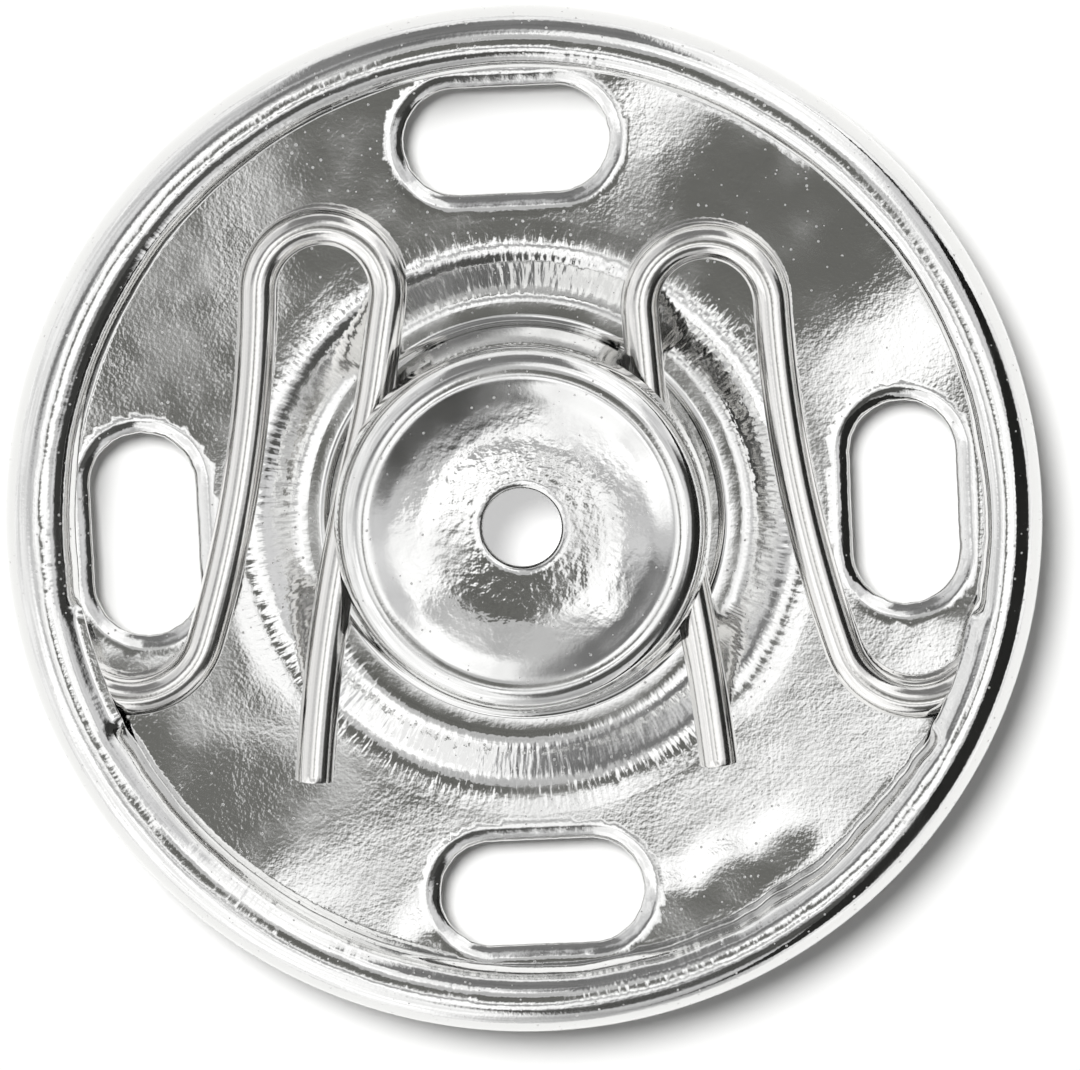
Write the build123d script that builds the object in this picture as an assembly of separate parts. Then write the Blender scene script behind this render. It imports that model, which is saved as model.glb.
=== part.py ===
from build123d import *
import math
import os

# Socket half of a sew-on snap fastener, in millimetres.
# Z = 0 is the mating face that the part rests on, and +Z points to the cloth side.
# X and Y run through the sewing slots, and the cup's axis is the Z axis.
# The disc is laid out from the cup outwards, and its widths add up to 21.0 across the rim.

# Sheet and floor
sheet = 0.30            # thickness of the nickel-plated brass sheet
floor_rise = 0.35       # the floor's height over the mating ring, on either side of the sheet

# Sewing slots
slot_length = 4.15      # end to end, along the rim
slot_width = 2.15       # across, from the cup towards the rim
slot_inner_land = 1.145 # flat floor between the ring's slope and a slot
slot_outer_land = 0.265 # flat floor between a slot and the rim's lip
slot_count = 4
slot_round = 0.13       # rounding of the slot's edges, so that they don't cut the thread

# Mouth and the ring round it
mouth_d = 7.30          # inside the straight collar that the ball enters through
mouth_round = 0.25      # bend from the collar into the ring, at mid-sheet
ring_width = 0.85       # from the collar to the ring's outer corner, at mid-sheet
ring_slope = 0.85       # distance over which the ring rises to the floor
ring_bend = 0.35        # bends on either side of that slope, at mid-sheet

# Cup
collar_height = 0.74    # straight part of the cup's wall, over the mating face
cup_d = 7.34            # outside, just under the shoulder
cup_height = 2.35       # where the wall's and the crown's slopes would meet, at mid-sheet
shoulder_bend = 0.40    # at mid-sheet
crown_slope = 18.0      # degrees, down from the shoulder to the crown's middle
crown_flat_r = 2.15     # inside this radius the crown is nearly flat
crown_flat_slope = 4.0  # degrees
crown_bend = 1.20       # between the two slopes, at mid-sheet
vent_d = 1.74           # hole in the middle of the crown

# Spring wire
wire_d = 0.77
wire_play = 0.035       # room between the wire and the sheet that it lies in
jaw_gap = 6.10          # clear distance between the two legs, where they grip the ball
spring_turn = -2.7      # degrees that the spring and its windows are turned from the slots
foot_bend_r = 1.56      # bend where a leg leaves the rim
foot_join = 14.5        # degrees below the X axis, where that bend meets the arc in the rim
leg_bow_r = 26.5        # slight bow of the leg between its foot and its loop

# Windows in the cup's wall and notches in the lip, for the wire
window_play = 0.10      # over and under the wire
window_reach = 1.13     # how far inside the jaws each window reaches, on the loops' side
notch_play = 0.07       # over the wire and beside it
lip_gap = 0.08          # between the lip's edge and the floor

# The two legs were bent by hand and differ a little. Each has a hairpin loop, a straight neck,
# a knee, and a tail that passes the mouth. Angles are in degrees.
left_leg = {"loop_out": 0.61, "loop_y": 4.69, "loop_r": 1.325, "neck_angle": 7.9, "neck": 1.63,
            "knee_r": 12.0, "knee_angle": 6.1, "tail_r": 37.5, "tail_angle": 10.8}
right_leg = {"loop_out": 0.25, "loop_y": 4.41, "loop_r": 1.34, "neck_angle": 5.5, "neck": 1.45,
             "knee_r": 6.5, "knee_angle": 9.2, "tail_r": 52.0, "tail_angle": 7.6}

# Worked out from the sizes above
half_sheet = sheet / 2
floor_mid = floor_rise + half_sheet
floor_top = floor_rise + sheet
wire_r = wire_d / 2
wire_z = floor_top + wire_play + wire_r
collar_r = mouth_d / 2 + half_sheet
cup_r = cup_d / 2 - half_sheet
ring_outer_r = collar_r + ring_width
slope_end_r = ring_outer_r + ring_slope
slot_circle_r = slope_end_r + slot_inner_land + slot_width / 2
lip_inner_r = slot_circle_r + slot_width / 2 + slot_outer_land
curl_r = wire_r + wire_play + half_sheet
curl_circle_r = lip_inner_r + half_sheet + curl_r
jaw_r = jaw_gap / 2


def cup_and_floor():
    """Mid-sheet line of the section, from the vent hole out to where the rim begins to roll."""
    crown_drop = (cup_r - crown_flat_r) * math.tan(math.radians(crown_slope))
    flat_drop = (crown_flat_r - vent_d / 2) * math.tan(math.radians(crown_flat_slope))
    corners = [
        (vent_d / 2, cup_height - crown_drop - flat_drop),
        (crown_flat_r, cup_height - crown_drop),
        (cup_r, cup_height),
        (collar_r, collar_height),
        (collar_r, half_sheet),
        (ring_outer_r, half_sheet),
        (slope_end_r, floor_mid),
        (curl_circle_r, floor_mid),
    ]
    bends = [crown_bend, shoulder_bend, 2 * sheet, mouth_round, ring_bend, ring_bend]
    return FilletPolyline(*corners, radius=bends)


def rim_curl():
    """Mid-sheet line of the rolled rim, from the floor round the wire and down to the lip."""
    outer_r = curl_r + half_sheet
    lip_angle = math.degrees(math.asin((floor_top + lip_gap - wire_z) / outer_r))
    return CenterArc((curl_circle_r, wire_z), curl_r, -90, 270 - lip_angle)


def sector(inner_r, outer_r, low_z, high_z, start, size):
    """Block bounded by two radii, two heights and two directions from the cup's axis."""
    middle = Pos((inner_r + outer_r) / 2, (low_z + high_z) / 2)
    section = middle * Rectangle(outer_r - inner_r, high_z - low_z)
    return Rot(0, 0, start) * revolve(Plane.XZ * section, Axis.Z, revolution_arc=size)


def leg_crossing(side_r, reach_r):
    """Degrees from the X axis at which a circle round a foot bend is reach_r from the cup's axis."""
    foot_r = curl_circle_r - foot_bend_r
    cosine = (foot_r**2 + reach_r**2 - side_r**2) / (2 * foot_r * reach_r)
    return foot_join + math.degrees(math.acos(cosine))


def window_cutter():
    """Cuts the right window: from the leg's lower crossing of the cup's wall to its upper one."""
    wall_r = max(collar_r, cup_r) + half_sheet
    low = -math.degrees(math.acos(jaw_r / wall_r))
    high = math.degrees(math.acos((jaw_r - window_reach) / wall_r))
    low_z = wire_z - wire_r - window_play
    high_z = wire_z + wire_r + window_play
    return sector(min(collar_r, cup_r) - sheet, wall_r + half_sheet, low_z, high_z, low, high - low)


def notch_cutter():
    """Cuts the right notch in the lip: from where the leg clears it to where it joins the rim's arc."""
    low = -leg_crossing(foot_bend_r + wire_r + notch_play, lip_inner_r)
    low_z = floor_top + lip_gap / 2
    high_z = wire_z + wire_r + notch_play
    room_r = wire_r + wire_play
    outer_r = curl_circle_r - math.sqrt(room_r**2 - (wire_r + wire_play / 2) ** 2)
    return sector(lip_inner_r - half_sheet, outer_r, low_z, high_z, low, -foot_join - low)


def wire_openings():
    """What is cut from the disc so that the wire can pass: two windows and two notches."""
    right = [window_cutter(), notch_cutter()]
    left = [mirror(cutter, Plane.YZ) for cutter in right]
    return [Rot(0, 0, spring_turn) * cutter for cutter in right + left]


def sewing_slots():
    """Cutters for the sewing slots, each lying along the rim."""
    slot = extrude(SlotOverall(slot_length, slot_width), floor_top + sheet)
    cuts = []
    for index in range(slot_count):
        turn = index * 360 / slot_count
        cuts.append(Rot(0, 0, turn) * Pos(0, slot_circle_r, 0) * slot)
    return cuts


def socket_plate():
    """The pressed disc: rim, floor, ring and cup are one sheet."""
    section = trace(Curve() + [cup_and_floor(), rim_curl()], line_width=sheet)
    blank = revolve(Plane.XZ * section, Axis.Z)
    slotted = blank - sewing_slots()
    slot_edges = [edge for edge in slotted.edges() if is_slot_edge(edge)]
    rounded = fillet(slot_edges, min(slot_round, 0.45 * sheet))
    return rounded - wire_openings()


def is_slot_edge(edge):
    """True for an edge that a slot leaves in the floor's upper or lower face."""
    middle = edge.center()
    level = abs(middle.Z - floor_top) < 0.001 or abs(middle.Z - floor_rise) < 0.001
    reach = math.hypot(slot_length, slot_width) / 2
    for index in range(slot_count):
        turn = math.radians(90 + index * 360 / slot_count)
        centre = Vector(slot_circle_r * math.cos(turn), slot_circle_r * math.sin(turn), middle.Z)
        if level and (middle - centre).length < reach:
            return True
    return False


def point_on(centre, radius, angle):
    """Point of a circle, with the angle in degrees."""
    turn = math.radians(angle)
    return (centre[0] + radius * math.cos(turn), centre[1] + radius * math.sin(turn))


def direction(start, end):
    """Angle in degrees of the line from one point to another."""
    return math.degrees(math.atan2(end[1] - start[1], end[0] - start[0]))


def bow_centre(foot, foot_reach, loop, loop_reach):
    """Centre of the bow: the outer one of the two points at these distances from foot and loop."""
    apart = math.dist(foot, loop)
    cosine = (foot_reach**2 + apart**2 - loop_reach**2) / (2 * foot_reach * apart)
    return point_on(foot, foot_reach, direction(foot, loop) + math.degrees(math.acos(cosine)))


def spring_leg(leg):
    """Centre line of the left leg, from the arc in the rim to the cut end."""
    foot = point_on((0, 0), curl_circle_r - foot_bend_r, 180 + foot_join)
    loop_x = jaw_r + wire_r + leg["loop_out"]
    loop = (-loop_x, leg["loop_y"])
    bow = bow_centre(foot, leg_bow_r - foot_bend_r, loop, leg_bow_r + leg["loop_r"])
    foot_end = direction(bow, foot)
    loop_start = direction(bow, loop)
    foot_arc = CenterArc(foot, foot_bend_r, 180 + foot_join, 180 - foot_join + foot_end)
    bow_arc = CenterArc(bow, leg_bow_r, foot_end, loop_start - foot_end)
    loop_arc = CenterArc(loop, leg["loop_r"], 180 + loop_start, -180 - loop_start - leg["neck_angle"])
    neck_start = loop_arc @ 1
    neck = Line(neck_start, neck_start + (loop_arc % 1) * leg["neck"])
    knee = JernArc(neck @ 1, neck % 1, leg["knee_r"], -leg["knee_angle"])
    tail = JernArc(knee @ 1, knee % 1, leg["tail_r"], leg["tail_angle"])
    return [foot_arc, bow_arc, loop_arc, neck, knee, tail]


def spring_wire():
    """The spring: one wire, bent flat, with its middle in the rim and its two legs at the mouth."""
    rim_arc = CenterArc((0, 0), curl_circle_r, -foot_join, 180 + 2 * foot_join)
    left = spring_leg(left_leg)
    right = [edge.mirror(Plane.YZ) for edge in spring_leg(right_leg)]
    path = Wire(left + [rim_arc] + right)
    start = left[-1] @ 1
    section = Plane(origin=start, z_dir=left[-1] % 1) * Circle(wire_r)
    wire = sweep(section, path=path)
    return Pos(0, 0, wire_z) * Rot(0, 0, spring_turn) * wire


os.makedirs("parts", exist_ok=True)
export_step(socket_plate(), "parts/socket_plate.step")
export_step(spring_wire(), "parts/spring_wire.step")
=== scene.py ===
import bmesh
import bpy
import math
from mathutils import Matrix, Vector, noise
from mathutils.geometry import delaunay_2d_cdt


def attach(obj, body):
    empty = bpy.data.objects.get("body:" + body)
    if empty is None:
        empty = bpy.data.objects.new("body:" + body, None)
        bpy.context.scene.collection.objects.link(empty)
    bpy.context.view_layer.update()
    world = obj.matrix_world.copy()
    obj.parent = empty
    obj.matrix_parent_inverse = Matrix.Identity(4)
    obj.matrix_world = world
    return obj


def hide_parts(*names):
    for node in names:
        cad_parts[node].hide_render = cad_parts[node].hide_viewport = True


# Socket half of a sew-on snap, seen from the cloth side. Sizes are in millimetres and are
# turned to metres where a mesh is made. +Z is the cloth side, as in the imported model.

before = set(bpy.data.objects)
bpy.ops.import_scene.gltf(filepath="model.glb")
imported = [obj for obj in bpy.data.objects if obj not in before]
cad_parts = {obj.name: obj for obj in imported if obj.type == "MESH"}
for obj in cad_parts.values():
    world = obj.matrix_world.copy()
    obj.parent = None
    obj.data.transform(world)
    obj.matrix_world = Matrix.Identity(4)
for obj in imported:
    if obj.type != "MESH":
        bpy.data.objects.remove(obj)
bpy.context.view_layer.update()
mm = 0.001


def addNode(tree, kind, links=(), **settings):
    # links: pairs of an input and a value, a socket, or a node that stands for its first output
    node = tree.nodes.new(kind)
    for name, value in settings.items():
        setattr(node, name, value)
    for name, value in links:
        if isinstance(value, bpy.types.Node):
            value = value.outputs[0]
        if isinstance(value, bpy.types.NodeSocket):
            tree.links.new(value, node.inputs[name])
        else:
            node.inputs[name].default_value = value
    return node


def linearColour(code):
    parts = [int(code[i:i + 2], 16) / 255 for i in (1, 3, 5)]
    return [p / 12.92 if p <= 0.04045 else ((p + 0.055) / 1.055) ** 2.4 for p in parts] + [1]


def smooth(low, high, value):
    t = min(1, max(0, (value - low) / (high - low)))
    return t * t * (3 - 2 * t)


def newPiece(name, points, faces, material, sharpAngle=30):
    mesh = bpy.data.meshes.new(name)
    mesh.from_pydata([(x * mm, y * mm, z * mm) for x, y, z in points], [], faces)
    shell = bmesh.new()
    shell.from_mesh(mesh)
    bmesh.ops.delete(shell, geom=[v for v in shell.verts if not v.link_faces], context="VERTS")
    bmesh.ops.recalc_face_normals(shell, faces=shell.faces)
    shell.to_mesh(mesh)
    shell.free()
    mesh.polygons.foreach_set("use_smooth", [True] * len(mesh.polygons))
    mesh.set_sharp_from_angle(angle=math.radians(sharpAngle))
    mesh.materials.append(material)
    piece = bpy.data.objects.new(name, mesh)
    bpy.context.scene.collection.objects.link(piece)
    triangles = sum(len(p.vertices) - 2 for p in mesh.polygons)
    print(name, len(mesh.vertices), "points,", triangles, "triangles")
    return piece


# Camera

cameraSetup = {
    "distance": 180.0,      # from the rim's level
    "tilt": 8.5,            # degrees from straight above, towards the picture's top
    "lean": 10.0,           # degrees that the tilt is turned to the picture's right
    "roll": 2.7,            # degrees that the slots are turned in the picture
    "frameWidth": 21.86,    # at the rim's level
    "rimLevel": 1.07,
    "shiftRight": 0.34,     # the picture's centre, from the disc's centre
    "shiftDown": 0.265,
}


def placeCamera(s):
    tilt = math.radians(s["tilt"])
    roll = math.radians(s["roll"])
    aside = math.radians(s["roll"] + s["lean"])
    back = Vector((math.sin(aside) * math.sin(tilt), math.cos(aside) * math.sin(tilt), math.cos(tilt)))
    right = Vector((math.sin(roll), math.cos(roll), 0)).cross(back).normalized()
    up = back.cross(right)
    target = Vector((0, 0, s["rimLevel"])) + right * s["shiftRight"] - up * s["shiftDown"]
    lens = bpy.data.cameras.new("camera")
    lens.sensor_width = 36
    lens.lens = lens.sensor_width * s["distance"] / s["frameWidth"]
    lens.clip_start = 0.005
    camera = bpy.data.objects.new("camera", lens)
    turn = Matrix((right, up, back)).transposed().to_4x4()
    camera.matrix_world = Matrix.Translation((target + back * s["distance"]) * mm) @ turn
    bpy.context.scene.collection.objects.link(camera)
    bpy.context.scene.camera = camera


placeCamera(cameraSetup)
print("camera placed")


# Bright nickel plate on pressed brass sheet. The plating is a mirror, but a soft one: it keeps
# the sheet's fine orange peel, the die's radial draw marks round the cup and the punch's
# hammered look in the crown, and these break the reflections up into grain.

nickelPlate = {
    "colour": "#EDEDEC",
    "roughness": 0.055,
    "cupRoughness": 0.080,              # the cup is a little duller, from its deeper draw
    "cupEdge": (3.30, 3.75),            # radii where the one turns into the other
    "slowGrain": 1.7,                   # mm, from one duller or dustier patch to the next
    "dullPatches": (0.40, 0.66, 0.8, 2.6),      # slow noise from and to, and how much rougher
    "peelGrain": 0.080,                 # orange peel, mm from dimple to dimple
    "peelDepth": 0.0016,
    "ironed": (4.7, 5.3, 0.5, 1.0),     # the die has ironed half of it away round the cup
    "waveGrain": 0.50,                  # longer ripple under it
    "waveDepth": 0.0032,
    "hammerGrain": 0.20,
    "hammerDepth": 0.010,
    "hammerEdge": (2.85, 1.95),         # radii where the hammered look begins and is full
    "drawWidth": 0.12,                  # from one draw mark to the next
    "drawAlong": 1.9,                   # how often they change along the radius, per mm
    "drawDepth": 0.014,
    "drawRadius": 4.50,                 # where that width holds
    "drawFrom": (4.40, 4.70),           # radii where they begin and are full
    "drawTo": (6.10, 5.60),             # radii where they have ended and are still full
    "crimpWidth": 0.15,                 # short marks across the lip, from rolling it
    "crimpDepth": 0.014,
    "crimpRadius": 9.4,                 # where that width holds
    "crimpMiddle": 9.5,                 # the radius that they lie on
    "crimpReach": (0.4, 0.2),           # either side of it
    "crimpPatches": (0.47, 0.60),       # slow noise from and to
    "speckSpacing": 0.16,               # grains of dust under the plating
    "speckSize": 0.025,
    "speckRoughness": 0.9,
    "speckCrowds": (0.38, 0.62, 0.74, 0.20),    # slow noise from and to, and how rare
}


def nickelPlateMaterial(s):
    material = bpy.data.materials.new("bright_nickel_plate")
    material.use_nodes = True
    tree = material.node_tree
    tree.nodes.clear()
    place = addNode(tree, "ShaderNodeTexCoord").outputs["Object"]
    inMm = addNode(tree, "ShaderNodeVectorMath", [(0, place), (1, [1 / mm] * 3)], operation="MULTIPLY")
    split = addNode(tree, "ShaderNodeSeparateXYZ", [(0, inMm)]).outputs
    flat = addNode(tree, "ShaderNodeCombineXYZ", [(0, split[0]), (1, split[1])])
    radius = addNode(tree, "ShaderNodeVectorMath", [(0, flat)], operation="LENGTH").outputs["Value"]
    azimuth = addNode(tree, "ShaderNodeMath", [(0, split[1]), (1, split[0])], operation="ARCTAN2")

    # draw marks run out from the cup and crimp marks across the lip, so both noises are
    # stretched along the radius
    around = addNode(tree, "ShaderNodeMath", [(0, azimuth), (1, s["drawRadius"] / s["drawWidth"])],
                     operation="MULTIPLY")
    along = addNode(tree, "ShaderNodeMath", [(0, radius), (1, s["drawAlong"])], operation="MULTIPLY")
    stretched = addNode(tree, "ShaderNodeCombineXYZ", [(0, around), (1, along)])
    lipAround = addNode(tree, "ShaderNodeMath", [(0, azimuth), (1, s["crimpRadius"] / s["crimpWidth"])],
                        operation="MULTIPLY")
    lipPlace = addNode(tree, "ShaderNodeCombineXYZ", [(0, lipAround), (1, radius)])
    noises = {}
    for name, vector, grain, detail in (
            ("slow", inMm, s["slowGrain"], 2), ("peel", inMm, s["peelGrain"], 1),
            ("wave", inMm, s["waveGrain"], 1), ("hammer", inMm, s["hammerGrain"], 2),
            ("draw", stretched, 1, 1.5), ("crimp", lipPlace, 1, 1)):
        noises[name] = addNode(tree, "ShaderNodeTexNoise", [("Vector", vector), ("Scale", 1 / grain),
                                                            ("Detail", detail)])

    # where each of them shows
    offMiddle = addNode(tree, "ShaderNodeMath", [(0, radius), (1, s["crimpMiddle"])],
                        operation="SUBTRACT")
    fromMiddle = addNode(tree, "ShaderNodeMath", [(0, offMiddle)], operation="ABSOLUTE")
    zones = {}
    for name, value in (("ironed", radius), ("hammerEdge", radius), ("drawFrom", radius),
                        ("drawTo", radius), ("crimpReach", fromMiddle), ("crimpPatches", noises["slow"]),
                        ("speckCrowds", noises["slow"]), ("dullPatches", noises["slow"])):
        zones[name] = addNode(tree, "ShaderNodeMapRange", [(0, value), *enumerate(s[name], 1)])
    height = 0.0
    for name, depth, within in (("peel", s["peelDepth"], ["ironed"]), ("wave", s["waveDepth"], []),
                                ("hammer", s["hammerDepth"], ["hammerEdge"]),
                                ("draw", s["drawDepth"], ["drawFrom", "drawTo"]),
                                ("crimp", s["crimpDepth"], ["crimpReach", "crimpPatches"])):
        part = noises[name]
        for zone in within:
            part = addNode(tree, "ShaderNodeMath", [(0, part), (1, zones[zone])], operation="MULTIPLY")
        height = addNode(tree, "ShaderNodeMath", [(0, part), (1, depth), (2, height)],
                         operation="MULTIPLY_ADD")
    bump = addNode(tree, "ShaderNodeBump", [("Height", height), ("Distance", mm), ("Strength", 1)])

    # each cell holds at most one speck, of half to one and a half times the size, and the specks
    # lie in crowds. They are rough, so they look white wherever the plate mirrors something dark.
    cells = addNode(tree, "ShaderNodeTexVoronoi", [
        ("Vector", inMm), ("Scale", 1 / s["speckSpacing"])]).outputs
    chosen = addNode(tree, "ShaderNodeSeparateColor", [(0, cells["Color"])]).outputs
    there = addNode(tree, "ShaderNodeMath", [(0, chosen[0]), (1, zones["speckCrowds"])],
                    operation="GREATER_THAN")
    size = s["speckSize"] / s["speckSpacing"]
    edge = addNode(tree, "ShaderNodeMapRange", [(0, chosen[1]), (3, 0.5 * size), (4, 1.5 * size)])
    dot = addNode(tree, "ShaderNodeMapRange", [(0, cells["Distance"]), (1, edge), (2, 0.0)])
    speck = addNode(tree, "ShaderNodeMath", [(0, there), (1, dot)], operation="MULTIPLY")

    satin = addNode(tree, "ShaderNodeMapRange", [(0, radius), *enumerate(s["cupEdge"], 1),
                                                 (3, s["cupRoughness"]), (4, s["roughness"])])
    even = addNode(tree, "ShaderNodeMath", [(0, zones["dullPatches"]), (1, satin)], operation="MULTIPLY")
    rough = addNode(tree, "ShaderNodeMapRange", [(0, speck), (2, 0.5), (3, even),
                                                 (4, s["speckRoughness"])])
    shader = addNode(tree, "ShaderNodeBsdfPrincipled", [
        ("Base Color", linearColour(s["colour"])), ("Metallic", 1.0), ("Roughness", rough),
        ("Normal", bump)])
    addNode(tree, "ShaderNodeOutputMaterial", [("Surface", shader)])
    return material


# Bright nickel plate on drawn bronze wire. It is duller than the sheet's, and a faint ripple and
# a fine grain soften the long lines that it mirrors.

platedWire = {
    "colour": "#F0EFED",
    "roughness": 0.14,
    "rippleGrain": 0.5,
    "rippleDepth": 0.0025,
    "speckGrain": 0.09,
    "speckDepth": 0.0012,
}


def platedWireMaterial(s):
    material = bpy.data.materials.new("nickel_plated_drawn_wire")
    material.use_nodes = True
    tree = material.node_tree
    tree.nodes.clear()
    place = addNode(tree, "ShaderNodeTexCoord").outputs["Object"]
    inMm = addNode(tree, "ShaderNodeVectorMath", [(0, place), (1, [1 / mm] * 3)], operation="MULTIPLY")
    height = 0.0
    for grain, depth in ((s["rippleGrain"], s["rippleDepth"]), (s["speckGrain"], s["speckDepth"])):
        pattern = addNode(tree, "ShaderNodeTexNoise", [("Vector", inMm), ("Scale", 1 / grain),
                                                       ("Detail", 1)])
        height = addNode(tree, "ShaderNodeMath", [(0, pattern), (1, depth), (2, height)],
                         operation="MULTIPLY_ADD")
    bump = addNode(tree, "ShaderNodeBump", [("Height", height), ("Distance", mm), ("Strength", 1)])
    shader = addNode(tree, "ShaderNodeBsdfPrincipled", [
        ("Base Color", linearColour(s["colour"])), ("Metallic", 1.0), ("Roughness", s["roughness"]),
        ("Normal", bump)])
    addNode(tree, "ShaderNodeOutputMaterial", [("Surface", shader)])
    return material


# Socket plate: one pressed sheet with a rolled rim. The section is a mid-sheet line, and each
# side of the sheet is that line moved by half the sheet's thickness.

plate = {
    "sheet": 0.30,
    "columns": 420,
    # mid-sheet line from the vent hole to where the rim begins to roll: r, z, bend
    "line": [(0.87, 1.817, 0), (1.90, 1.870, 3.5), (2.72, 2.068, 3.5), (3.52, 2.35, 0.40),
             (3.80, 0.74, 0.60), (3.80, 0.15, 0.38), (4.65, 0.15, 1.20), (5.50, 0.50, 1.20),
             (9.78, 0.50, 0)],
    "cupWall": (3.3, 4.0, -0.8),        # its radii, and how steeply the line falls there, radians
    # rows of points along the line: the longest step in mm and the most bend in degrees
    "windowRows": (0.12, 10),
    "clothRows": (0.13, 8),
    "cupMatingRows": (0.3, 16),
    "ringMatingRows": (0.3, 14),
    "underLipRows": (0.2, 10),
    "floorSpacing": (0.15, 0.26),       # between points of the floor, cloth and mating side
    # the vent's edge, rounded by the punch: how far down through the sheet, and how far inwards
    "ventEdge": [(0.06, 0.03), (0.2, 0.058), (0.4, 0.07), (0.8, 0.07), (0.95, 0.04)],
    "floorFrom": 5.85,      # between these radii the slots are let in
    "floorTo": 9.42,
    "rollRadius": 0.57,
    "rollCentre": (9.78, 1.07),
    "rollSteps": (16, 54),  # inside and outside
    "wireRoom": 0.41,       # the roll comes no nearer to its centre than this
    "rollEnd": 208.0,       # degrees round the roll where the lip ends
    "notchFrom": 12.0,      # the lip passes over the wire between these, in degrees below the
    "notchTo": 26.0,        # spring's X axis
    "notchFade": (8.0, 7.0),    # degrees over which it fades out, above and below
    # the lip's upper face there, as distance inwards from the crest and height
    "lipOverWire": [(0, 1.79), (0.12, 1.78), (0.24, 1.745), (0.34, 1.70), (0.50, 1.615), (0.56, 1.60),
                    (0.80, 1.60)],
    # the rolled edge was drawn and crimped by hand tools, most of all at the lower right: slow
    # and fine waves in how far it reaches round (degrees) and inwards (mm)
    "lipWaves": (6.5, 24),
    "lipReachWaves": (5, 3),
    "lipDrawnWaves": (0.09, 0.03),
    "lipDrawn": (0.13, 0.11, 17.1887),  # everywhere, and more towards this direction
    "lipFrom": (95, 185),   # degrees round the roll where the drawing out begins and is full
    "creases": (-38, 65, 10, 0.3, 1.2), # middle, where they begin and are full, least, and more
    "thinEdge": (0.015, 0.015),         # the edge's inner face moves this far inwards and down
    "lipEdgeRows": (0.15, 0.5, 0.85),
    "lipEdgeBulge": 0.012,
    "springTurn": -2.7,
    "windowLow": 0.585,
    "windowHigh": 1.555,
    "windowFrom": -39.5,    # degrees, in the spring's frame, right window
    "windowTo": 60.9,
    "slotCircle": 7.72,
    "slotLength": 4.15,
    "slotWidth": 2.15,
    "slotPoints": 132,
    "slotRagged": (0.010, 7, 6),        # how much, how often per mm along it and down
    # rounding of the slot's edges on the cloth and the mating side: across, down, steps
    "slotRounds": ((0.31, 0.17, 7), (0.12, 0.10, 4)),
    "slotSlant": 0.45,      # share of it that slants, the rest is round
    "sharpAngle": 50,
}


def bentLine(corners):
    # dense list of (length so far, r, z, direction)
    step = 0.01     # mm along a straight, radians round a bend
    points = []
    here = corners[0][:2]
    for i in range(1, len(corners)):
        x, z, bend = corners[i]
        heading = math.atan2(z - corners[i - 1][1], x - corners[i - 1][0])
        cut = 0
        turn = 0
        if i < len(corners) - 1:
            after = math.atan2(corners[i + 1][1] - z, corners[i + 1][0] - x)
            turn = (after - heading + math.pi) % (2 * math.pi) - math.pi
            cut = bend * math.tan(abs(turn) / 2)
        end = (x - cut * math.cos(heading), z - cut * math.sin(heading))
        span = math.dist(here, end)
        steps = max(2, int(span / step))
        for k in range(steps):
            t = k / steps
            points.append((here[0] + (end[0] - here[0]) * t, here[1] + (end[1] - here[1]) * t,
                           heading))
        if turn:
            side = 1 if turn > 0 else -1
            centre = (end[0] - side * bend * math.sin(heading),
                      end[1] + side * bend * math.cos(heading))
            steps = max(8, int(abs(turn) / step))
            for k in range(steps):
                a = heading + turn * k / steps
                points.append((centre[0] + side * bend * math.sin(a),
                               centre[1] - side * bend * math.cos(a), a))
            here = (x + cut * math.cos(after), z + cut * math.sin(after))
        else:
            points.append((end[0], end[1], heading))
    line = []
    length = 0
    for i, (r, z, a) in enumerate(points):
        if i:
            length += math.dist(points[i - 1][:2], (r, z))
        line.append((length, r, z, a))
    return line


def pickRows(line, first, last, longest, turning):
    # points of the dense line between two indexes, closer together where it bends
    rows = [line[first]]
    due = 0
    for i in range(first + 1, last):
        due += (line[i][0] - line[i - 1][0]) / longest
        due += abs(line[i][3] - line[i - 1][3]) / math.radians(turning)
        if due >= 1:
            rows.append(line[i])
            due = 0
    rows.append(line[last])
    return rows


def sideOf(row, side, half):
    # side is 1 on the cloth side and -1 on the mating side
    return (row[1] - side * half * math.sin(row[3]), row[2] + side * half * math.cos(row[3]))


def notchShare(s, azimuth):
    # 1 where the lip is lifted over the wire, 0 elsewhere; azimuth in degrees
    spring = azimuth - s["springTurn"]
    share = 0
    for below in (-spring, spring - 180):
        a = (below + 180) % 360 - 180
        share = max(share, smooth(s["notchFrom"] - s["notchFade"][0], s["notchFrom"], a)
                    * smooth(s["notchTo"] + s["notchFade"][1], s["notchTo"], a))
    return share


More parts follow.
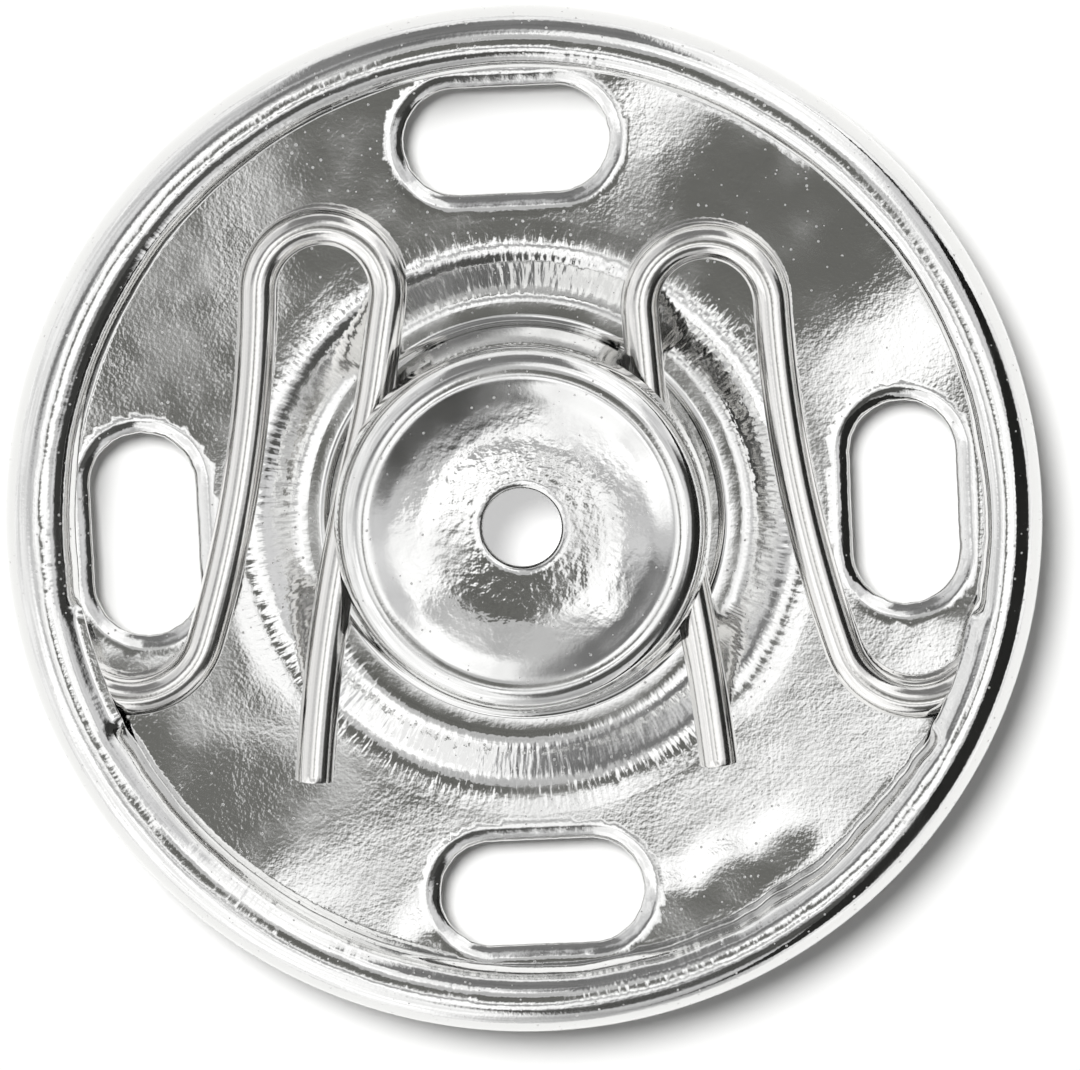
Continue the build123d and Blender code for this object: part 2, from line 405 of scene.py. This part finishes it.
def rollRow(s, azimuth, share, half):
    # a point of the roll, share of the way round, on the inner (-) or outer (+) side
    lifted = notchShare(s, azimuth)
    turn = math.radians(azimuth)
    middle, begin, full, least, more = s["creases"]
    creased = least + more * smooth(begin, full, abs((azimuth - middle + 180) % 360 - 180))
    waves = []
    for often, seed in zip(s["lipWaves"], (3.3, 7.1)):
        place = Vector((math.cos(turn) * often, math.sin(turn) * often, seed))
        waves.append(creased * noise.noise(place))
    end = s["rollEnd"] + sum(size * wave for size, wave in zip(s["lipReachWaves"], waves))
    angle = -90 + (end + 90) * share
    radius = s["rollRadius"] + half
    r = s["rollCentre"][0] + radius * math.cos(math.radians(angle))
    z = s["rollCentre"][1] + radius * math.sin(math.radians(angle))
    lip = smooth(*s["lipFrom"], angle)
    always, aside, towards = s["lipDrawn"]
    drawn = always + aside * math.cos(turn - math.radians(towards))
    drawn += sum(size * wave for size, wave in zip(s["lipDrawnWaves"], waves))
    # the edge is drawn out thin, so its inner face stays clear of the wire
    outside = (half + s["sheet"] / 2) / s["sheet"]
    inwards, down = s["thinEdge"]
    inwards = min(drawn, inwards)
    r += lip * (inwards + (drawn - inwards) * outside)
    # over the wire the sheet runs on inwards instead of curling down
    if angle > 90:
        past = (angle - 90) / (end - 90)
        reach = (s["rollRadius"] + s["sheet"] / 2 - drawn) * past
        for (u, low), (v, high) in zip(s["lipOverWire"], s["lipOverWire"][1:]):
            if u <= reach <= v:
                upper = low + (high - low) * (reach - u) / (v - u)
        lower = s["rollCentre"][1] + s["rollRadius"] - s["sheet"] / 2 - down * past
        overZ = lower + (upper - lower) * outside
        lifted **= 1 + 2 * past     # the edge comes down sooner than the crest
        r += (s["rollCentre"][0] - reach - r) * lifted
        z += (overZ - z) * lifted
    room = max(1, s["wireRoom"] / math.dist((r, z), s["rollCentre"]))
    return tuple(c + (v - c) * room for c, v in zip(s["rollCentre"], (r, z)))


def stadium(s, offset, count):
    # outline of a slot grown by offset, centred on the origin and lying along X
    core = (s["slotLength"] - s["slotWidth"]) / 2
    radius = s["slotWidth"] / 2 + offset
    straight = 2 * core
    bow = math.pi * s["slotWidth"] / 2
    whole = 2 * (straight + bow)
    points = []
    for i in range(count):
        t = whole * i / count
        if t < straight:
            points.append((-core + t, -radius))
        elif t < straight + bow:
            a = (t - straight) / bow * math.pi - math.pi / 2
            points.append((core + radius * math.cos(a), radius * math.sin(a)))
        elif t < 2 * straight + bow:
            points.append((core - (t - straight - bow), radius))
        else:
            a = (t - 2 * straight - bow) / bow * math.pi + math.pi / 2
            points.append((-core + radius * math.cos(a), radius * math.sin(a)))
    return points


# The pressed floor isn't quite flat. It has a slow wave, and patches that lean a little.
floorShape = {
    "from": (5.6, 6.3),     # radii where it begins and is full
    "to": (9.6, 9.2),
    "waveLength": 3.0,
    "waveHeight": 0.020,
    "sunk": 0.12,           # the patches lie a little low, so that the wire stays clear of them
    "patchReach": 1.6,      # in radii, where a patch has faded out
    "below": 0.7,           # what lies higher than this, such as the lip, keeps its height
    # x, y, radius, lean in degrees towards the direction that follows, in degrees
    "patches": [(-6.6, 4.8, 3.4, 0.9, 132), (6.0, 6.3, 3.4, 1.4, 132), (-6.7, -5.2, 2.6, 1.3, 80),
                (-5.6, -2.6, 1.5, 1.3, 80), (-8.3, -2.8, 0.6, 1.8, 80), (8.9, -1.9, 0.7, 2.6, 132),
                (-1.9, -8.9, 1.0, 2.0, 132), (0.6, 8.9, 1.5, 1.0, 132), (2.7, -8.4, 0.9, 2.6, 132),
                (4.0, -7.8, 0.9, 2.4, 132), (5.1, -7.1, 0.7, 2.0, 132)],
}


def floorWave(x, y):
    s = floorShape
    r = math.hypot(x, y)
    share = smooth(*s["from"], r) * smooth(*s["to"], r)
    if share == 0:
        return 0
    place = Vector((x / s["waveLength"], y / s["waveLength"], 0.7))
    height = s["waveHeight"] * noise.noise(place)
    for px, py, size, lean, towards in s["patches"]:
        away = math.hypot(x - px, y - py) / size
        if away < s["patchReach"]:
            a = math.radians(towards)
            ahead = (x - px) * math.cos(a) + (y - py) * math.sin(a)
            drop = math.tan(math.radians(lean)) * (ahead + s["sunk"] * size)
            height -= drop * math.exp(-away**4)
    return share * height


def buildPlate(s, material):
    half = s["sheet"] / 2
    columns = s["columns"]
    points = []
    faces = []
    azimuths = [360 * j / columns for j in range(columns)]

    def ring(makePoint):
        start = len(points)
        for azimuth in azimuths:
            r, z = makePoint(azimuth)
            a = math.radians(azimuth)
            points.append((r * math.cos(a), r * math.sin(a), z))
        return start

    def band(lower, upper, skip=()):
        for j in range(columns):
            if j not in skip:
                k = (j + 1) % columns
                faces.append((lower + j, lower + k, upper + k, upper + j))

    line = bentLine(s["line"])
    last = len(line) - 1
    low, high, steep = s["cupWall"]
    wall = [i for i in range(last) if low < line[i][1] < high and line[i][3] < steep]
    windowTop = min(wall, key=lambda i: abs(line[i][2] - s["windowHigh"]))
    windowBottom = min(wall, key=lambda i: abs(line[i][2] - s["windowLow"]))
    floorStart = min(range(last), key=lambda i: abs(line[i][1] - s["floorFrom"]))
    floorEnd = min(range(last), key=lambda i: abs(line[i][1] - s["floorTo"]))

    # columns that each window takes
    windows = []
    for low, high in ((s["windowFrom"], s["windowTo"]), (180 - s["windowTo"], 180 - s["windowFrom"])):
        low += s["springTurn"]
        high += s["springTurn"]
        windows.append([round(low / 360 * columns) % columns, round((high - low) / 360 * columns)])
    openColumns = {(first + k) % columns for first, count in windows for k in range(count)}

    def grid(rows, side, openRows=()):
        # openRows: indexes of bands that have the windows in them
        rings = []
        for row in rows:
            r, z = sideOf(row, side, half)
            rings.append(ring(lambda azimuth, r=r, z=z: (r, z)))
        for i in range(len(rings) - 1):
            band(rings[i], rings[i + 1], openColumns if i in openRows else ())
        return rings

    middle = pickRows(line, windowTop, windowBottom, *s["windowRows"])
    upperCloth = pickRows(line, 0, windowTop, *s["clothRows"])[:-1]
    lowerCloth = pickRows(line, windowBottom, floorStart, *s["clothRows"])[1:]
    upperMating = pickRows(line, 0, windowTop, *s["cupMatingRows"])[:-1]
    lowerMating = pickRows(line, windowBottom, floorStart, *s["ringMatingRows"])[1:]
    openCloth = range(len(upperCloth), len(upperCloth) + len(middle) - 1)
    openMating = range(len(upperMating), len(upperMating) + len(middle) - 1)
    cloth = grid(upperCloth + middle + lowerCloth, 1, openCloth)
    mating = grid(upperMating + middle + lowerMating, -1, openMating)

    # the sheet's thickness round each window
    for first, count in windows:
        for k in range(count):
            a = (first + k) % columns
            b = (a + 1) % columns
            for c, m in ((cloth[openCloth[0]], mating[openMating[0]]),
                         (cloth[openCloth[-1] + 1], mating[openMating[-1] + 1])):
                faces.append((c + a, c + b, m + b, m + a))
        for a in (first, (first + count) % columns):
            for i in range(len(middle) - 1):
                c = openCloth[0] + i
                m = openMating[0] + i
                faces.append((cloth[c] + a, cloth[c + 1] + a, mating[m + 1] + a, mating[m] + a))

    # vent hole
    ventTop = sideOf(line[0], 1, half)
    ventBottom = sideOf(line[0], -1, half)
    edge = cloth[0]
    for t, inwards in s["ventEdge"]:
        r = ventTop[0] + (ventBottom[0] - ventTop[0]) * t - inwards
        z = ventTop[1] + (ventBottom[1] - ventTop[1]) * t
        following = ring(lambda azimuth: (r, z))
        band(edge, following)
        edge = following
    band(edge, mating[0])

    # floor under the lip, and the inside of the roll
    underLip = pickRows(line, floorEnd, last, *s["underLipRows"])
    cloth2 = grid(underLip, 1)
    mating2 = grid(underLip, -1)
    inner = cloth2[-1]
    innerSteps, outerSteps = s["rollSteps"]
    for i in range(1, innerSteps + 1):
        following = ring(lambda azimuth: rollRow(s, azimuth, i / innerSteps, -half))
        band(inner, following)
        inner = following
    outer = mating2[-1]
    for i in range(1, outerSteps + 1):
        following = ring(lambda azimuth: rollRow(s, azimuth, i / outerSteps, half))
        band(outer, following)
        outer = following
    for t in s["lipEdgeRows"]:
        bulge = 1 + s["lipEdgeBulge"] * math.sin(math.pi * t)
        following = ring(lambda azimuth: rollRow(s, azimuth, bulge, half - 2 * half * t))
        band(outer, following)
        outer = following
    band(outer, inner)

    # slots: rings of points round each one, joined through the sheet
    floorLevel = s["line"][-1][1]
    slant = s["slotSlant"]

    def slotRings(top):
        across, down, steps = s["slotRounds"][0 if top else 1]
        rows = []
        for k in range(steps):
            # a slanting edge, rounded where it meets the slot's wall
            a = math.pi / 2 * k / (steps - 1)
            z = half - down * (slant * (1 - math.sin(a)) + (1 - slant) * math.cos(a))
            rows.append((across * (1 - math.cos(a)), floorLevel + (z if top else -z)))
        return rows

    loops = {True: [], False: []}
    much, often, oftenDown = s["slotRagged"]
    for index in range(4):
        turn = math.radians(90 * index)
        walls = {}
        for top in (True, False):
            before = None
            for offset, z in slotRings(top):
                start = len(points)
                for x, y in stadium(s, offset, s["slotPoints"]):
                    # the punched edge is a little ragged
                    place = Vector((often * x, often * y, index * 5 + oftenDown * z))
                    ragged = much * noise.noise(place)
                    x *= 1 + ragged
                    y = y * (1 + ragged) + s["slotCircle"]
                    points.append((x * math.cos(turn) - y * math.sin(turn),
                                   x * math.sin(turn) + y * math.cos(turn), z))
                if before is None:
                    walls[top] = start
                else:
                    for i in range(s["slotPoints"]):
                        k = (i + 1) % s["slotPoints"]
                        faces.append((before + i, before + k, start + k, start + i))
                before = start
            loops[top].append(before)
        for i in range(s["slotPoints"]):
            k = (i + 1) % s["slotPoints"]
            faces.append((walls[True] + i, walls[True] + k, walls[False] + k, walls[False] + i))

    # the floor round them, on both sides of the sheet
    for top, innerRing, outerRing in ((True, cloth[-1], cloth2[0]), (False, mating[-1], mating2[0])):
        level = floorLevel + (half if top else -half)
        spacing = s["floorSpacing"][0 if top else 1]
        grown = s["slotRounds"][0 if top else 1][0]
        ids = []
        edges = []
        holes = []
        rims = [(outerRing, columns), (innerRing, columns)]
        rims += [(loop, s["slotPoints"]) for loop in loops[top]]
        for start, count in rims:
            base = len(ids)
            ids += range(start, start + count)
            holes += [start if base else None] * count
            edges += [(base + i, base + (i + 1) % count) for i in range(count)]
        innerR = math.hypot(*points[innerRing][:2])
        outerR = math.hypot(*points[outerRing][:2])

        def slotDistance(x, y):
            nearest = 99
            core = (s["slotLength"] - s["slotWidth"]) / 2
            for index in range(4):
                turn = -math.radians(90 * index)
                u = x * math.cos(turn) - y * math.sin(turn)
                v = x * math.sin(turn) + y * math.cos(turn) - s["slotCircle"]
                away = math.hypot(max(0, abs(u) - core), v)
                nearest = min(nearest, away - s["slotWidth"] / 2 - grown)
            return nearest

        rows = int((outerR - innerR) / spacing)
        for i in range(1, rows):
            r = innerR + (outerR - innerR) * i / rows
            count = int(2 * math.pi * r / spacing)
            for j in range(count):
                a = 2 * math.pi * (j + 0.5 * (i % 2)) / count
                x = r * math.cos(a)
                y = r * math.sin(a)
                if slotDistance(x, y) > 0.4 * spacing:
                    ids.append(len(points))
                    holes.append(None)
                    points.append((x, y, level))
        flat = [Vector(points[i][:2]) for i in ids]
        _, _, triangles, origins, _, _ = delaunay_2d_cdt(flat, edges, [], 0, 1e-6)
        for triangle in triangles:
            corners = sorted(origins[i][0] for i in triangle)
            a, b, c = [flat[i] for i in corners]
            owners = {holes[i] for i in corners}
            # three corners in order on the edge of one hole: the triangle lies in the hole
            if len(owners) > 1 or None in owners or (b - a).cross(c - a) < 0:
                faces.append([ids[i] for i in corners])

    waved = []
    for x, y, z in points:
        waved.append((x, y, z + (floorWave(x, y) if z < floorShape["below"] else 0)))
    return newPiece("nickel_plate_disc", waved, faces, material, s["sharpAngle"])


plateNickel = nickelPlateMaterial(nickelPlate)
plateDisc = buildPlate(plate, plateNickel)
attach(plateDisc, "root")
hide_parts("socket_plate")
print("plate built")


# Spring: one wire, bent flat, its middle inside the rolled rim and its two legs at the mouth.
# The arcs and straights are those of the real bends, so the tube runs smoothly through them.

spring = {
    "wireRadius": 0.385,
    "level": 1.07,
    "turn": -2.7,
    "rimRadius": 9.78,
    "jaw": 3.05,
    "footRadius": 1.56,
    "footJoin": 14.5,
    "bowRadius": 26.5,
    "left": {"loopOut": 0.61, "loopY": 4.69, "loopRadius": 1.325, "neckAngle": 7.9, "neck": 1.63,
             "kneeRadius": 12.0, "kneeAngle": 6.1, "tailRadius": 37.5, "tailAngle": 10.8},
    "right": {"loopOut": 0.25, "loopY": 4.41, "loopRadius": 1.34, "neckAngle": 5.5, "neck": 1.45,
              "kneeRadius": 6.5, "kneeAngle": 9.2, "tailRadius": 52.0, "tailAngle": 7.6},
    "spacing": 0.16,
    "sides": 30,
    # the cut ends are flat, with the edge just broken: how much narrower, how far from the end
    "cutEnd": [(0.035, 0.0), (0.008, 0.012), (0.0, 0.05)],
    "sharpAngle": 45,
}


def onCircle(centre, radius, angle):
    a = math.radians(angle)
    return (centre[0] + radius * math.cos(a), centre[1] + radius * math.sin(a))


def heading(start, end):
    return math.degrees(math.atan2(end[1] - start[1], end[0] - start[0]))


def arcPoints(centre, radius, start, sweep, spacing):
    # points with their direction of travel
    count = max(2, round(abs(math.radians(sweep)) * radius / spacing))
    found = []
    for i in range(count + 1):
        angle = start + sweep * i / count
        travel = angle + (90 if sweep > 0 else -90)
        found.append((onCircle(centre, radius, angle), travel))
    return found


def turnFrom(point, travel, radius, sweep, spacing):
    # an arc that starts at a point and goes on in its direction; the sweep's sign is its side
    side = 90 if sweep > 0 else -90
    centre = onCircle(point, radius, travel + side)
    return arcPoints(centre, radius, travel - side, sweep, spacing)


def legPath(s, leg):
    # the left leg, from the arc in the rim to the cut end
    foot = onCircle((0, 0), s["rimRadius"] - s["footRadius"], 180 + s["footJoin"])
    loop = (-(s["jaw"] + s["wireRadius"] + leg["loopOut"]), leg["loopY"])
    nearFoot = s["bowRadius"] - s["footRadius"]
    nearLoop = s["bowRadius"] + leg["loopRadius"]
    apart = math.dist(foot, loop)
    cosine = (nearFoot**2 + apart**2 - nearLoop**2) / (2 * nearFoot * apart)
    bow = onCircle(foot, nearFoot, heading(foot, loop) + math.degrees(math.acos(cosine)))
    footEnd = heading(bow, foot)
    loopStart = heading(bow, loop)
    path = arcPoints(foot, s["footRadius"], 180 + s["footJoin"], 180 - s["footJoin"] + footEnd,
                     s["spacing"])
    path += arcPoints(bow, s["bowRadius"], footEnd, loopStart - footEnd, s["spacing"])[1:]
    path += arcPoints(loop, leg["loopRadius"], 180 + loopStart, -180 - loopStart - leg["neckAngle"],
                      s["spacing"])[1:]
    start, travel = path[-1]
    steps = max(2, round(leg["neck"] / s["spacing"]))
    for i in range(1, steps + 1):
        path.append((onCircle(start, leg["neck"] * i / steps, travel), travel))
    path += turnFrom(*path[-1], leg["kneeRadius"], -leg["kneeAngle"], s["spacing"])[1:]
    path += turnFrom(*path[-1], leg["tailRadius"], leg["tailAngle"], s["spacing"])[1:]
    return path


def buildSpring(s, material):
    left = legPath(s, s["left"])
    right = [((-p[0], p[1]), 180 - travel) for p, travel in legPath(s, s["right"])]
    rim = arcPoints((0, 0), s["rimRadius"], 180 + s["footJoin"], -180 - 2 * s["footJoin"],
                    2 * s["spacing"])
    path = [(p, travel + 180) for p, travel in reversed(left)] + rim[1:] + right[1:]
    points = []
    faces = []
    sides = s["sides"]
    turn = math.radians(s["turn"])

    def ring(centre, travel, radius, ahead):
        start = len(points)
        a = math.radians(travel)
        for i in range(sides):
            b = 2 * math.pi * i / sides
            x = centre[0] + ahead * math.cos(a) - radius * math.cos(b) * math.sin(a)
            y = centre[1] + ahead * math.sin(a) + radius * math.cos(b) * math.cos(a)
            points.append((x * math.cos(turn) - y * math.sin(turn),
                           x * math.sin(turn) + y * math.cos(turn),
                           s["level"] + radius * math.sin(b)))
        return start

    radius = s["wireRadius"]
    rings = [ring(*path[0], radius - less, ahead) for less, ahead in s["cutEnd"]]
    rings += [ring(*step, radius, 0) for step in path[1:-1]]
    rings += [ring(*path[-1], radius - less, -ahead) for less, ahead in reversed(s["cutEnd"])]
    for a, b in zip(rings, rings[1:]):
        for i in range(sides):
            k = (i + 1) % sides
            faces.append((a + i, b + i, b + k, a + k))
    faces.append([rings[0] + i for i in range(sides)])
    faces.append([rings[-1] + i for i in reversed(range(sides))])
    return newPiece("plated_spring_wire", points, faces, material, s["sharpAngle"])


wireNickel = platedWireMaterial(platedWire)
springWire = buildSpring(spring, wireNickel)
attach(springWire, "root")
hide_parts("spring_wire")
print("spring built")


# Studio: a white floor, a soft key lamp from the upper left, and a pale room for the metal to
# mirror, with windows at the lower left and upper right, roof lights, and dark cards between.

studio = {
    "floorColour": "#F4F4F3",
    "floorSize": 1.2,           # metres
    "lampLevel": 3.6,
    "lampAzimuth": 125,         # degrees in the picture, from its right
    "lampHeight": 60,
    "lampSpread": 27,           # degrees that the lamp fills, for a soft shadow
    "roomLevel": 0.20,          # the room's share of the floor's light
    "underVent": 0.50,          # light on the paper under the vent
    "underVentReach": (1.9, 1.0),       # mm from the axis
    # a low black card that stands round the right of the disc, close to it, and blackens the
    # outside of the rim there: radius, low and high edge in mm, then the azimuths where it
    # starts, is at its full height, begins to fall and ends
    "card": (14.0, 2.7, 8.8, -80, -40, 0, 62),
    "cardColour": "#2C2C2B",
    "cardSteps": 40,
    "roomColour": "#DADADB",
    "lowWall": (30, 14, 1.0),   # below this height the walls turn brighter, down to the second
    "foldScale": 7.0,           # the white cloth round the room hangs in folds
    "foldNoise": (0.36, 0.64),
    "foldLevels": (0.82, 1.12),
    # what the metal mirrors: azimuth in the picture, height over the floor, half width, half
    # height (degrees), softness of the edges, level, colour. Later ones lie over earlier ones.
    "panels": [
        (90, 88, 25, 25, 0.15, 0.56, "#FFFFFF"),        # grey ceiling
        (186, 26, 26, 20, 0.25, 0.95, "#FFFFFF"),       # pale wall, left
        (-122, 34, 25, 25, 0.10, 1.20, "#FFFFFF"),      # window, lower left
        (60, 40, 15, 29, 0.08, 1.20, "#FFFFFF"),        # window, upper right
        (-80, 15, 14, 14, 0.20, 0.50, "#FFFFFF"),       # wall, bottom
        (140, 61, 24, 6, 0.10, 0.22, "#F4F4F4"),        # dark card, upper left
        (98, 34, 22, 17, 0.08, 0.24, "#F4F4F4"),        # dark card, top
        (-62, 48, 22, 11, 0.08, 0.10, "#F4F4F0"),       # dark card, lower right
        (-14, 30, 28, 14, 0.10, 0.05, "#F4F4F0"),       # dark card, right
        (-90, 87, 10, 11, 0.03, 0.16, "#FBFBF4"),       # the camera's own dark hood
        (-50, 74.2, 24, 9.0, 0.05, 1.20, "#FFFFFF"),    # roof light, lower right
        (-96, 71, 9, 3, 0.05, 0.45, "#FFFFFF"),         # seam across it
        (188, 75, 14, 8, 0.06, 1.15, "#FFFFFF"),        # roof light, left
    ],
}


def skyDirection(azimuth, height):
    a = math.radians(azimuth - cameraSetup["roll"])
    e = math.radians(height)
    return Vector((math.cos(a) * math.cos(e), math.sin(a) * math.cos(e), math.sin(e)))


def buildStudio(s):
    world = bpy.data.worlds.new("studio")
    bpy.context.scene.world = world
    world.use_nodes = True
    tree = world.node_tree
    tree.nodes.clear()
    direction = addNode(tree, "ShaderNodeTexCoord").outputs["Generated"]
    room = linearColour(s["roomColour"])
    up = addNode(tree, "ShaderNodeSeparateXYZ", [(0, direction)]).outputs[2]
    high, low, level = s["lowWall"]
    wall = addNode(tree, "ShaderNodeMapRange", [(0, up), (1, math.sin(math.radians(high))),
                                                (2, math.sin(math.radians(low)))],
                   interpolation_type="SMOOTHSTEP")
    room = addNode(tree, "ShaderNodeMix", [(0, wall), (6, room), (7, (level, level, level, 1))],
                   data_type="RGBA").outputs[2]
    for azimuth, height, wide, tall, softness, level, colour in s["panels"]:
        # the direction in the panel's own frame; what lies behind it is under the floor
        axis = skyDirection(azimuth, height)
        side = Vector((0, 0, 1)).cross(axis).normalized()
        turn = Matrix((axis, side, axis.cross(side))).to_euler()
        local = addNode(tree, "ShaderNodeMapping", [("Vector", direction), ("Rotation", turn)])
        away = addNode(tree, "ShaderNodeVectorMath", [(0, local)], operation="ABSOLUTE")
        reach = [math.sin(math.radians(size)) for size in (wide, tall)]
        outer = [1] + [size + softness / 2 for size in reach]
        inner = [0] + [size - softness / 2 for size in reach]
        edges = addNode(tree, "ShaderNodeMapRange", [("Vector", away), (7, outer), (8, inner)],
                        data_type="FLOAT_VECTOR").outputs["Vector"]
        split = addNode(tree, "ShaderNodeSeparateXYZ", [(0, edges)]).outputs
        inside = addNode(tree, "ShaderNodeMath", [(0, split[1]), (1, split[2])], operation="MULTIPLY")
        shade = [level * part for part in linearColour(colour)[:3]] + [1]
        room = addNode(tree, "ShaderNodeMix", [(0, inside), (6, room), (7, shade)],
                       data_type="RGBA").outputs[2]
    cloth = addNode(tree, "ShaderNodeTexNoise", [("Vector", direction), ("Scale", s["foldScale"]),
                                                 ("Detail", 2)])
    folds = addNode(tree, "ShaderNodeMapRange", [(0, cloth), *enumerate(s["foldNoise"], 1),
                                                 *enumerate(s["foldLevels"], 3)])
    room = addNode(tree, "ShaderNodeMix", [(0, 1.0), (6, room), (7, folds)],
                   data_type="RGBA", blend_type="MULTIPLY").outputs[2]
    # the camera sees plain white behind the floor, and the floor gets only part of the room's
    # light, so that the key lamp's shadow stays clear on it
    rays = addNode(tree, "ShaderNodeLightPath").outputs
    strength = addNode(tree, "ShaderNodeMapRange", [(0, rays["Is Diffuse Ray"]), (3, 1),
                                                    (4, s["roomLevel"])])
    seen = addNode(tree, "ShaderNodeMix", [(0, rays["Is Camera Ray"]), (6, room), (7, (1, 1, 1, 1))],
                   data_type="RGBA").outputs[2]
    background = addNode(tree, "ShaderNodeBackground", [("Color", seen), ("Strength", strength)])
    addNode(tree, "ShaderNodeOutputWorld", [("Surface", background)])

    # key lamp: it lights the floor and casts the soft shadow, and the metal doesn't mirror it
    toLamp = skyDirection(s["lampAzimuth"], s["lampHeight"])
    light = bpy.data.lights.new("key_lamp", "SUN")
    light.energy = s["lampLevel"]
    light.angle = math.radians(s["lampSpread"])
    lamp = bpy.data.objects.new("key_lamp", light)
    lamp.matrix_world = toLamp.to_track_quat("Z", "Y").to_matrix().to_4x4()
    lamp.visible_glossy = False
    bpy.context.scene.collection.objects.link(lamp)

    material = bpy.data.materials.new("white_card_floor")
    material.use_nodes = True
    tree = material.node_tree
    tree.nodes.clear()
    paper = addNode(tree, "ShaderNodeBsdfDiffuse", [("Color", linearColour(s["floorColour"]))])
    # The bright inside of the cup throws light on the paper under the vent, which the renderer
    # leaves out. It is added here for the camera alone, so it lights nothing else.
    place = addNode(tree, "ShaderNodeTexCoord").outputs["Object"]
    away = addNode(tree, "ShaderNodeVectorMath", [(0, place)], operation="LENGTH").outputs["Value"]
    far, near = s["underVentReach"]
    lit = addNode(tree, "ShaderNodeMapRange", [(0, away), (1, far * mm), (2, near * mm),
                                               (4, s["underVent"])])
    seen = addNode(tree, "ShaderNodeLightPath").outputs["Is Camera Ray"]
    glow = addNode(tree, "ShaderNodeMath", [(0, lit), (1, seen)], operation="MULTIPLY")
    thrown = addNode(tree, "ShaderNodeEmission", [("Strength", glow)])
    both = addNode(tree, "ShaderNodeAddShader", [(0, paper), (1, thrown)])
    addNode(tree, "ShaderNodeOutputMaterial", [("Surface", both)])
    black = bpy.data.materials.new("black_card")
    black.use_nodes = True
    tree = black.node_tree
    tree.nodes.clear()
    felt = addNode(tree, "ShaderNodeBsdfDiffuse", [("Color", linearColour(s["cardColour"]))])
    addNode(tree, "ShaderNodeOutputMaterial", [("Surface", felt)])
    radius, low, high, first, risen, falling, last = s["card"]
    points = []
    for i in range(s["cardSteps"] + 1):
        azimuth = first + (last - first) * i / s["cardSteps"]
        share = min(1, (azimuth - first) / (risen - first), (last - azimuth) / (last - falling))
        a = math.radians(azimuth - cameraSetup["roll"])
        for z in (low, low + 0.01 + (high - low) * share**2):
            points.append((radius * math.cos(a), radius * math.sin(a), z))
    strip = [(2 * i, 2 * i + 2, 2 * i + 3, 2 * i + 1) for i in range(s["cardSteps"])]
    card = newPiece("black_card", points, strip, black)
    card.visible_camera = False
    card.visible_diffuse = False
    card.visible_shadow = False

    half = s["floorSize"] / 2 / mm
    corners = [(-half, -half, 0), (half, -half, 0), (half, half, 0), (-half, half, 0)]
    newPiece("floor", corners, [(0, 1, 2, 3)], material)


buildStudio(studio)
bpy.context.scene.view_settings.view_transform = "Standard"
print("studio built")
